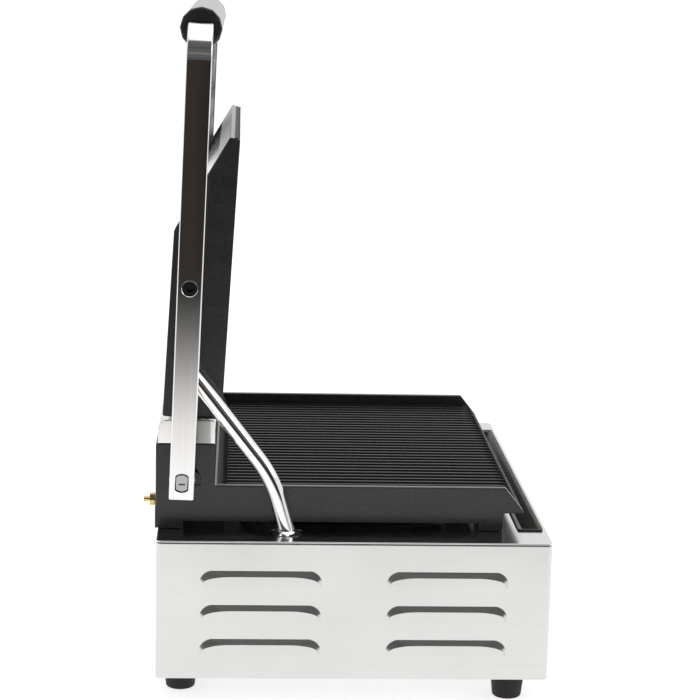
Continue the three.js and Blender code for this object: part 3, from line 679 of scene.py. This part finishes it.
def make_lower_plate():
    """The lower casting: sloped ribbed bed, rim, pouring lip, legs and the hinge housing behind."""
    outline = [
        (-118.6, 165), (-133.2, 146.8), (-133.2, 144.3), (-118.3, 144.3), (-117.6, 130.3), (-98.4, 130.3),
        (-98.4, 136), (133.7, 136), (133.7, 130.3), (154.8, 130.3), (154.8, 147.5), (154.3, 148.2),
        (154.3, 198), (108.5, 198), (108.5, 165.6), (107.9, 165),
    ]
    bed = [(-150, 180), (-150, 140.1), (-118, BED), (101, BED), (107, 165), (107, 180)]
    inner = PLATE_HALF - 5.5
    bm = prism_mesh(outline, "x", -PLATE_HALF, PLATE_HALF)
    tools = [
        prism_mesh(bed, "x", -inner, inner), block_mesh(-155, 155, -94, 100, 100, 146),
        block_mesh(-141, 141, -125, -98, 100, 140), block_mesh(-141, 141, 120, 160, 100, 136),
        block_mesh(-150, 150, 114, 148.8, 150, 210), rod_mesh("y", 2.4, 147, 160, 149.6, -155, 24),
    ]
    bush_hole = rod_mesh("x", 9.3, 150.05, 180, PIVOT_Y, PIVOT_Z, 48)
    for hole in (bush_hole, block_mesh(169.6, 172, 119.6, 124.2, 165, 172.6)):
        tools += [hole.copy(), mirrored_about(hole)]
    tools += [rod_mesh("z", 3.3, 120, 139, x, y, 24) for x, y in PLATE_BOLTS]
    slope = (BED - 144.07) / (140 - 118)
    stops = [
        (-132.1, BED - slope * 14.1, 0.6), (-131.2, BED - slope * 13.2, 2.2),
        (-125.4, BED - slope * 7.4, 4.0 + slope * 7.4), (-124.6, BED - slope * 6.6, 4.25 + slope * 6.6),
        (-118, BED, 4.3), (98.9, BED, 4.3), (99.6, BED, 3.9), (101.4, BED, 0.9), (101.7, BED, 0.3),
    ]

    def add_ridges(obj):
        for i in range(34):
            bm = ridge_mesh((i - 16.5) * RIDGE_PITCH, stops, -1.0, lambda u, along, level: (u, along, level))
            add_part(obj, bm, MATERIALS["ridge_iron"])

    def weight(middle):
        """The narrow rear rim and the small square boss take a finer edge."""
        rear_rim = 106 < middle.y < 109.5 and 163.5 < middle.z < 167
        boss = 119 < middle.y < 125 and 164 < middle.z < 173
        return 0.25 if rear_rim or boss else 1.0

    iron = MATERIALS["cast_iron"]
    piece("lower_plate", bm, TO_PRESS, iron, bevel=1.0, cuts=tools, after=add_ridges, weight=weight)


UPPER_HALF, FACE, REAR, UPPER_FRONT, GROOVE = 164, -30.4, -106.4, 111.8, 4.0


def make_upper_plate():
    """The upper casting: ribbed face, raised side edges and a cavity for the heater."""
    outline = [
        (FACE, REAR + 2), (FACE, REAR + 8), (FACE + GROOVE, REAR + 10), (FACE + GROOVE, UPPER_FRONT),
        (-22.5, 112.2), (14.2, 40.8), (15.3, 38), (15.3, REAR + 1), (14.3, REAR), (FACE + 2, REAR),
    ]
    cavity = [(-18, REAR + 8), (-18, 87.6), (-8, 109.6), (40, 109.6), (40, REAR + 8)]
    bm = prism_mesh(outline, "x", -UPPER_HALF, UPPER_HALF)
    tools = [prism_mesh(cavity, "x", -UPPER_HALF + 8, UPPER_HALF - 8)]
    hole = rod_mesh("x", 4.3, 147, 170, 0, 0, 32)
    tools += [hole.copy(), mirrored_about(hole)]
    floor = FACE + GROOVE
    stops = [(REAR + 7.5, floor, 4.0), (UPPER_FRONT - 2.6, floor, 4.0), (UPPER_FRONT - 1.9, floor, 3.6),
             (UPPER_FRONT - 0.1, floor, 1.8)]

    def towards_food(u, along, level):
        return (u, FACE + GROOVE - (level - FACE - GROOVE), along)

    def add_parts(obj):
        iron = MATERIALS["cast_iron"]
        for i in range(-16, 17):
            add_part(obj, ridge_mesh(i * RIDGE_PITCH, stops, -1.0, towards_food), MATERIALS["ridge_iron"])
        for sign in (-1, 1):
            edge = [(161.6, floor + 1), (161.6, floor), (163.3, FACE + 0.3), (163.7, FACE),
                    (UPPER_HALF, FACE + 0.3), (UPPER_HALF, floor + 1)]
            edge = [(sign * x, y) for x, y in edge]
            add_part(obj, prism_mesh(edge, "z", REAR + 7.5, UPPER_FRONT - 1.2), iron)
            boss = lathe(rounded_ring(11, 4.3, 144, 160, 0.5), "x", 0, 0, 48)
            add_part(obj, boss if sign > 0 else mirrored_about(boss), iron)
            add_part(obj, rod_mesh("y", 4.9, -20, 10.5, -40, sign * 138, 32), iron)

    piece("upper_plate", bm, TO_HEAD, MATERIALS["cast_iron"], bevel=0.9, cuts=tools, after=add_parts)


# ------------------------------------------------------------------ arms and grip
ARM_INNER, ARM_OUTER, ARM_WIDTH, ARM_FOOT, ARM_END, BEND = 187, 197, 19, -13.5, 148, 28


def arm_section(shrink):
    """The bar's section, (across its thickness, across its width), set in by shrink."""
    half_t, half_w = (ARM_OUTER - ARM_INNER) / 2 - shrink, ARM_WIDTH / 2 - shrink
    return rounded_rect(-half_t, half_t, -half_w, half_w, 1.3 - shrink, 5)


def make_arm(side, sign):
    """A flat bar, bent over at the top into the grip."""
    middle = (ARM_INNER + ARM_OUTER) / 2
    radius = BEND - 5
    stops = [(middle, ARM_FOOT + d, 0.0, s) for d, s in ((0, 0.9), (0.25, 0.45), (0.9, 0.0))]
    bend_z = GRIP_AT + 5 - BEND
    stops += [(middle, z, 0.0, 0.0) for z in (-8, 40, 100, SCREW - 20, SCREW + 20, 220, 290)]
    for i in range(25):
        a = math.pi / 2 * i / 24
        stops.append((middle - radius + radius * math.cos(a), bend_z + radius * math.sin(a), a, 0.0))
    stops += [(165, GRIP_AT, math.pi / 2, 0.0), (ARM_END, GRIP_AT, math.pi / 2, 0.0)]
    rings = []
    for x, z, turn, shrink in stops:
        rings.append([(x + t * math.cos(turn), w, z + t * math.sin(turn)) for t, w in arm_section(shrink)])
    hole = [(max(-5.2, min(5.2, y)), z) for y, z in circle(7.5, (0, 0), 64)]
    screw_hole = [
        (0, 180), (4.3, 180), (4.3, 191), (5.9, 191), (5.9, 196.65), (6.35, 197.1), (6.35, 205), (0, 205),
    ]
    tools = [prism_mesh(hole, "x", 180, 205), lathe(screw_hole, "x", 0, SCREW, 48)]
    bm = loft(rings)
    if sign < 0:
        mirrored(bm)
        tools = [mirrored(t) for t in tools]
    piece("arm_" + side, bm, TO_ARMS, MATERIALS["chrome"], cuts=tools)


def twelve_sides(radius, sharp=0.55):
    """A softly twelve-sided outline inside a circle of this radius."""
    points = []
    for i in range(96):
        a = math.tau * i / 96
        off = (a % (math.pi / 6)) - math.pi / 12
        flat = math.cos(math.pi / 12) / math.cos(off)
        reach = radius * (1 - sharp + sharp * flat)
        points.append((reach * math.cos(a), reach * math.sin(a)))
    return points


def make_grip():
    """The grip between the end caps, hollow for its core."""
    def ring(radius, x):
        return [(y, z + GRIP_AT, x) for y, z in twelve_sides(radius)]

    end = 148.7
    outer = [(14.9, -end), (15.5, -end + 0.25), (15.8, -end + 0.9)]
    outer += [(r, -x) for r, x in outer[::-1]]
    rings = [ring(r, x) for r, x in outer]
    rings += [[(y, z + GRIP_AT, x) for y, z in circle(12.2, (0, 0), 96)] for x in (end, -end)]
    piece("grip", turned(loft(rings, closed=True), "x"), TO_ARMS, MATERIALS["bakelite"], smooth=50)


def make_grip_cap(side, sign):
    """The moulded end ring: a raised twelve-sided rim round a slightly sunk face."""
    profile = [(11, 149.0), (15.6, 149.0), (16.0, 149.4), (16.0, 158.9), (15.7, 159.6), (15.1, 160.0),
               (14.3, 159.8), (13.9, 159.3), (11, 159.3)]
    rings = [[(y, z + GRIP_AT, x) for y, z in twelve_sides(r, 0.8)] for r, x in profile]
    slot = rounded_rect(-9.8, 9.8, GRIP_AT - 5.3, GRIP_AT + 5.3, 1.2, 4)
    bm, tool = turned(loft(rings), "x"), prism_mesh(slot, "x", 140, 170)
    if sign < 0:
        bm, tool = mirrored(bm), mirrored(tool)
    piece("grip_cap_" + side, bm, TO_ARMS, MATERIALS["bakelite"], cuts=[tool])


def make_shaft():
    """The hinge shaft, round between the arms, with flattened ends and a slot in each."""
    def ring(x, radius, flat):
        return [(max(-flat, min(flat, y)), z, x) for y, z in circle(radius, (0, 0), 96)]

    stops = [(196.6, 6.0, 3.9), (196.4, 6.4, 4.3), (196.0, 6.65, 4.5), (186.8, 6.65, 4.5),
             (186.65, 6.95, 6.95), (150, 7.0, 7.0)]
    rings = [ring(*stop) for stop in stops] + [ring(-x, r, flat) for x, r, flat in stops[::-1]]
    slots = [block_mesh(*sorted((sign * 194.6, sign * 199)), -2.4, 2.4, -1.7, 0.2) for _, sign in SIDES]
    piece("hinge_shaft", turned(loft(rings), "x"), TO_ARMS, MATERIALS["steel"], cuts=slots)


def make_arm_fittings():
    """Spacers, spring collars and the socket screws that carry the upper plate."""
    for side, sign in SIDES:
        pieces_here = {
            "hinge_spacer_": (rounded_ring(10, 7.3, 171.4, 186.6, 0.7), 0, "steel"),
            "pivot_spacer_": (rounded_ring(8, 4.3, 164.4, 186.6, 0.6), SCREW, "chrome"),
            "spring_collar_": (rounded_ring(13, 7.3, 76, 86, 0.6), 0, "steel"),
        }
        for name, (profile, z, slot) in pieces_here.items():
            bm = lathe(profile, "x", 0, z)
            piece(name + side, bm if sign > 0 else mirrored(bm), TO_ARMS, MATERIALS[slot])
        head = [(0, 148.5), (3.9, 148.5), (3.9, 191.5), (5.2, 191.5), (5.45, 191.8), (5.45, 196.1),
                (5.0, 196.55), (0, 196.55)]
        socket = prism_mesh(circle(2.9, (0, SCREW), 6, math.pi / 6), "x", 193.1, 199)
        bm = lathe(head, "x", 0, SCREW)
        if sign < 0:
            bm, socket = mirrored(bm), mirrored(socket)
        piece("pivot_screw_" + side, bm, TO_ARMS, MATERIALS["blackened"], cuts=[socket])


# ------------------------------------------------------------------ conduit
CONDUIT_X = -179


def make_conduit():
    """The bent wire conduit, its flange and bush, and the pipe on into the hinge cover."""
    base, knee, end = (Vector((CONDUIT_X, y, z)) for y, z in ((48.9, 119), (64, 173.2), (127.3, 255)))
    start = knee + (base - knee).normalized() * 19
    stop = knee + (end - knee).normalized() * 19
    line = [base, base.lerp(start, 0.5)]
    line += [(1 - t) ** 2 * start + 2 * t * (1 - t) * knee + t**2 * stop for t in (i / 20 for i in range(21))]
    line += [stop.lerp(end, t) for t in (0.25, 0.5, 0.75, 0.98, 1.0)]
    piece("conduit", tube_mesh(line, 6.45, 48), TO_PRESS, MATERIALS["tube"], smooth=50)
    flange = [(7.8, 130.35), (12.4, 130.35), (12.5, 130.45), (11.6, 130.75), (10.2, 131.25), (9.1, 131.9),
              (8.4, 132.6), (8.1, 132.75), (7.8, 132.75)]
    piece("conduit_flange", lathe(flange, "z", CONDUIT_X, 52.3), TO_PRESS, MATERIALS["tube"])
    rise = (end - knee).normalized()
    place = TO_PRESS @ Matrix.Translation(end) @ rise.to_track_quat("Z", "Y").to_matrix().to_4x4()
    bush = lathe(rounded_ring(7.1, 2.6, 0.35, 4.95, 0.7), "z", 0, 0)
    piece("conduit_bush", bush, place, MATERIALS["rubber"])
    route = [end + rise * d for d in (0.35, 4, 8.5)]
    drop = ((136.2, 262.8), (138.2, 258.6), (138.2, 250), (137.4, 238), (136, 224))
    route += [(CONDUIT_X, y, z) for y, z in drop]
    route += [(-177, 133.5, 211), (-173.5, 132.1, 207), (-166, 132, 206.8)]
    piece("conduit_pipe", tube_mesh(smooth_path(route, 6), 2.25, 20), TO_PRESS, MATERIALS["steel"], smooth=50)


# ------------------------------------------------------------------ hinge
def make_springs():
    """The torsion springs and the bushes the shaft turns in."""
    for side, sign in SIDES:
        line = []
        for i in range(181):
            t = i / 180
            a = math.tau * 4 * t
            x = sign * 110 + (t - 0.5) * 16.8
            line.append((x, PIVOT_Y + 11 * math.cos(a), PIVOT_Z + 11 * math.sin(a)))
        piece("lift_spring_" + side, tube_mesh(line, 1.45, 12), TO_PRESS, MATERIALS["steel"], smooth=50)
        bm = lathe(rounded_ring(9, 7.1, 150.4, 170.5, 0.4), "x", PIVOT_Y, PIVOT_Z)
        piece("hinge_bush_" + side, bm if sign > 0 else mirrored_about(bm), TO_PRESS, MATERIALS["bronze"])


# ------------------------------------------------------------------ front panel
KNOB_X, SWITCH_X, PANEL_Z = 95, -110, 75
LAMPS = (("lamp_green", -8), ("lamp_amber", -42))


def numeral(text, size, x, z, y):
    """A flat numeral as a thin raised mesh on the front panel, centred at x and z."""
    curve = bpy.data.curves.new("numeral", "FONT")
    curve.body = text
    curve.size = size
    curve.align_x, curve.align_y = "CENTER", "CENTER"
    curve.extrude = 0.02
    curve.resolution_u = 3
    obj = bpy.data.objects.new("numeral", curve)
    bpy.context.collection.objects.link(obj)
    mesh = bpy.data.meshes.new_from_object(obj.evaluated_get(bpy.context.evaluated_depsgraph_get()))
    bpy.data.objects.remove(obj)
    bm = bmesh.new()
    bm.from_mesh(mesh)
    bm.transform(Matrix.Translation((x, y, z)) @ Matrix.Rotation(math.pi / 2, 4, "X"))
    return bm


def make_dial():
    """A bright dial plate with ticks and temperatures round the knob."""
    bm = lathe(rounded_ring(29.8, 4.5, -153.55, -152.85, 0.2), "y", PANEL_Z, KNOB_X, 96)

    def print_scale(obj):
        ink = MATERIALS["dark_print"]
        for i in range(28):
            a = math.radians(-135 + 10 * i)
            long = i % 3 == 0
            tick = block_mesh(-0.25, 0.25, -153.6, -153.5, 21.9, 23.7 if long else 22.9)
            tick.transform(Matrix.Translation((KNOB_X, 0, PANEL_Z)) @ Matrix.Rotation(a, 4, "Y"))
            add_part(obj, tick, ink)
        for value, angle in ((50, -135), (100, -81), (150, -27), (200, 27), (250, 81), (300, 135)):
            a = math.radians(angle)
            x, z = KNOB_X + 26.4 * math.sin(a), PANEL_Z + 26.4 * math.cos(a)
            add_part(obj, numeral(str(value), 3.6, x, z, -153.57), ink)

    piece("dial_plate", bm, TO_PRESS, MATERIALS["polished"], after=print_scale)


def make_knob():
    """A ribbed skirt under a finger bar with a white pointer."""
    skirt = [(3.4, -154), (20.2, -154), (20.9, -154.6), (20.6, -157.6), (19.6, -158.9), (17.5, -159.4),
             (3.4, -159.4)]

    def ribs(angle, radius, _height):
        return radius - (0.45 * (0.5 + 0.5 * math.cos(36 * angle)) if radius > 19 else 0)

    bm = lathe(skirt, "y", PANEL_Z, KNOB_X, 288, ribs)

    def add_bar(obj):
        def ring(y, half, length, r):
            outline = rounded_rect(-half, half, -length, length, r, 6)
            return [(KNOB_X + x, y, PANEL_Z + z) for x, z in outline]

        stops = [
            (-158.0, 7.4, 17.7, 5.0), (-160.2, 6.0, 17.4, 4.6), (-163, 5.4, 17.2, 4.2),
            (-167.4, 5.1, 16.9, 4.0), (-168.3, 4.8, 16.6, 3.8), (-168.8, 4.1, 15.9, 3.4),
            (-168.9, 3.2, 15.0, 2.8),
        ]
        add_part(obj, loft([ring(*stop) for stop in stops]), MATERIALS["bakelite"])
        pointer = block_mesh(KNOB_X - 0.7, KNOB_X + 0.7, -168.98, -168.7, PANEL_Z + 4, PANEL_Z + 14.6)
        add_part(obj, pointer, MATERIALS["white_print"])

    piece("thermostat_knob", bm, TO_PRESS, MATERIALS["bakelite"], after=add_bar)


def make_switch():
    """A rocker in a bevelled frame, marked with a bar and a ring."""
    def frame_ring(half_x, half_z, r, y):
        outline = rounded_rect(-half_x, half_x, -half_z, half_z, r, 5)
        return [(SWITCH_X + u, y, PANEL_Z + v) for u, v in outline]

    stops = [
        (10.9, 13.9, 0.6, -128.1), (10.9, 13.9, 0.6, -152.8), (13.4, 16.4, 1.8, -152.8),
        (13.4, 16.4, 1.8, -153.6), (13.1, 16.1, 1.7, -154.2), (12.2, 15.2, 1.5, -154.7),
        (9.9, 12.5, 0.8, -154.7), (9.5, 12.1, 0.6, -154.3), (9.4, 12.0, 0.5, -144.2),
    ]
    piece("switch_housing", loft([frame_ring(*stop) for stop in stops]), TO_PRESS, MATERIALS["bakelite"])
    tilt = math.radians(-7)
    place = TO_PRESS @ Matrix.Translation((SWITCH_X, -149, PANEL_Z)) @ Matrix.Rotation(tilt, 4, "X")
    face = [(-4.7 - 2.1 * abs(t) ** 1.6, 10.3 * t) for t in (i / 8 for i in range(-8, 9))]
    side = [(2.3, -10.3), *face, (2.3, 10.3)]

    def add_marks(obj):
        for z, shape in ((6.6, "bar"), (-6.6, "ring")):
            depth = -4.7 - 2.1 * (abs(z) / 10.3) ** 1.6
            slope = Matrix.Rotation(math.copysign(0.33, -z), 4, "X")
            if shape == "bar":
                mark = block_mesh(-0.35, 0.35, -0.08, 0.05, -2, 2)
            else:
                mark = lathe(rounded_ring(2, 1.4, -0.08, 0.05, 0.02, 2), "y", 0, 0, 40)
            mark.transform(Matrix.Translation((0, depth - 0.06, z)) @ slope)
            add_part(obj, mark, MATERIALS["white_print"])

    rocker = prism_mesh(side, "x", -8.8, 8.8)
    piece("rocker_switch", rocker, place, MATERIALS["bakelite"], bevel=0.5, after=add_marks)


def make_lamps():
    """Domed lenses in narrow bright bezels."""
    for node, x in LAMPS:
        body = [(0.0, -140.6), (4.9, -140.6), (4.9, -152.85), (5.3, -153.5), (5.2, -154.4),
                (4.9, -155.3), (4.2, -156.3), (3.2, -157.0), (1.7, -157.5), (0.0, -157.6)]
        bezel = [(5.35, -152.85), (6.5, -152.85), (6.55, -153.3), (6.3, -154.0), (5.8, -154.2),
                 (5.35, -154.0)]

        def add_bezel(obj, place=x, profile=bezel):
            add_part(obj, lathe(profile, "y", PANEL_Z, place), MATERIALS["polished"])

        piece(node, lathe(body, "y", PANEL_Z, x), TO_PRESS, MATERIALS[node[5:]], after=add_bezel)


# ------------------------------------------------------------------ stage
# The reflected floor is darkest at its edge and white from FLOOR_WHITE on.
FLOOR_EDGE, FLOOR_WHITE = -2.05, -0.85
FLOOR_GREY, FLOOR_GLOW = (0.42, 0.42, 0.42, 1), 0.68
AIR_SEEN, AIR_MIRRORED = 1.05, 0.86
FLAG_GAP, FLAG_REACH = 0.35, 3.5
FLAG_FOOT, FLAG_SEAM, CEILING = -0.4, 0.6, 4.6


def make_stage():
    """The white floor, what only reflections see, and two soft lights."""
    scene = bpy.context.scene
    scene.view_settings.view_transform = "Standard"
    scene.world = make_world()

    white = Nodes("white_floor")
    white.set(Base_Color=FLOOR_GREY, Roughness=0.9, Emission_Color=(1, 1, 1, 1), Emission_Strength=FLOOR_GLOW)
    floor = floor_sheet("floor", -8, white.material)
    floor.visible_glossy = False
    n = Nodes("reflected_floor")
    place = n.add("ShaderNodeSeparateXYZ")
    n.link(n.coords, place.inputs["Vector"])
    levels = ((0.0, 0.03), (0.25, 0.12), (0.5, 0.36), (0.78, 0.8))
    stops = [(position, (level, 0.97 * level, 0.94 * level)) for position, level in levels]
    along = n.spread(place.outputs["X"], 0, 1, FLOOR_EDGE, FLOOR_WHITE)
    fade = n.bands(along, [*stops, (1.0, (1, 1, 1))])
    shaded = n.add("ShaderNodeMix", data_type="RGBA", blend_type="MULTIPLY")
    shaded.inputs["Factor"].default_value = 1.0
    shaded.inputs["B"].default_value = FLOOR_GREY
    n.link(fade, shaded.inputs["A"])
    n.link(shaded.outputs["Result"], n.shader.inputs["Base Color"])
    n.link(fade, n.shader.inputs["Emission Color"])
    n.set(Roughness=0.9, Emission_Strength=FLOOR_GLOW)
    only_reflected(floor_sheet("reflected_floor", FLOOR_EDGE, n.material))

    wall = FLOOR_EDGE - FLAG_GAP
    low, high = upright(wall, FLAG_FOOT, FLAG_SEAM), upright(wall, FLAG_SEAM, CEILING)
    make_flag("low_flag", low, (0.008, 0.007, 0.006), (0.030, 0.020, 0.013), (1, 9, 0.3))
    make_flag("high_flag", high, (0.06, 0.06, 0.06), (0.19, 0.19, 0.185), (1, 0.6, 7))
    outline = ((wall, -FLAG_REACH), (wall, FLAG_REACH), (-0.1, FLAG_REACH), (-0.1, -FLAG_REACH))
    ceiling = [(x, y, CEILING) for x, y in outline]
    make_flag("ceiling", ceiling, (0.5, 0.5, 0.5), (0.56, 0.56, 0.56), (1, 1, 1))
    make_light("top_softbox", (0.2, -0.1, 2.4), (0, 0, 0), (2.6, 2.6), 14)
    make_light("front_softbox", (-0.4, -2.4, 1.4), (0, 0, 0.2), (1.8, 1.2), 10)


def make_world():
    """White studio air. Mirrors see it a little greyer, so that polished parts stand out from it."""
    world = bpy.data.worlds.new("studio")
    world.use_nodes = True
    nodes, links = world.node_tree.nodes, world.node_tree.links
    mix = nodes.new("ShaderNodeMixShader")
    links.new(nodes.new("ShaderNodeLightPath").outputs["Is Glossy Ray"], mix.inputs["Fac"])
    seen, in_mirrors = nodes["Background"], nodes.new("ShaderNodeBackground")
    for slot, background, strength in ((1, seen, AIR_SEEN), (2, in_mirrors, AIR_MIRRORED)):
        background.inputs["Color"].default_value = (1, 1, 1, 1)
        background.inputs["Strength"].default_value = strength
        links.new(background.outputs["Background"], mix.inputs[slot])
    links.new(mix.outputs["Shader"], nodes["World Output"].inputs["Surface"])
    return world


def floor_sheet(name, start, material):
    """A wide white sheet under the press."""
    bm = bmesh.new()
    bm.faces.new([bm.verts.new((x, y, 0)) for x, y in ((start, -6), (8, -6), (8, 6), (start, 6))])
    sheet = mesh_object(name, bm, material)
    return sheet


def only_reflected(obj):
    """Studio pieces that only mirror surfaces see."""
    obj.visible_camera = False
    obj.visible_diffuse = False
    obj.visible_shadow = False
    obj.visible_transmission = False


def upright(x, low, high):
    """The corners of a standing card at this x."""
    return [(x, -FLAG_REACH, low), (x, FLAG_REACH, low), (x, FLAG_REACH, high), (x, -FLAG_REACH, high)]


def make_flag(name, corners, dark, light, streaks):
    """A studio flag, seen only in reflections, like the unlit side of a room."""
    bm = bmesh.new()
    bm.faces.new([bm.verts.new(corner) for corner in corners])
    n = Nodes(name)
    grain = n.noise(n.stretched(streaks), 1.0, 4.0)
    n.link(n.ramp(grain, dark, light, 0.45, 0.75), n.shader.inputs["Base Color"])
    n.set(Roughness=1.0)
    flag = mesh_object(name, bm, n.material)
    only_reflected(flag)


def make_light(name, place, target, size, power):
    """A soft rectangular light aimed at target."""
    data = bpy.data.lights.new(name, "AREA")
    data.shape = "RECTANGLE"
    data.size, data.size_y = size
    data.energy = power
    light = bpy.data.objects.new(name, data)
    aim = (Vector(target) - Vector(place)).to_track_quat("-Z", "Y")
    light.matrix_world = Matrix.Translation(place) @ aim.to_matrix().to_4x4()
    bpy.context.collection.objects.link(light)


# ------------------------------------------------------------------ assemble
PLACED = set()


def refine_remaining():
    """Every CAD node that has no piece of its own keeps its shape, with rounded edges."""
    for node in frame["nodes"]:
        if node not in PLACED:
            refined_copy(node, MATERIALS[slot_of_node(node)], 0.3 * MM)


make_camera()
MATERIALS = make_materials()
make_stage()
make_base_shell()
make_top_cover()
make_feet()
make_drip_tray()
make_lower_plate()
make_upper_plate()
for side, sign in SIDES:
    make_arm(side, sign)
    make_grip_cap(side, sign)
make_grip()
make_arm_fittings()
make_shaft()
make_conduit()
make_springs()
make_dial()
make_knob()
make_switch()
make_lamps()
refined_copy("hinge_cover", MATERIALS["cover"], 0.4 * MM, 3, smooth=50)
refine_remaining()
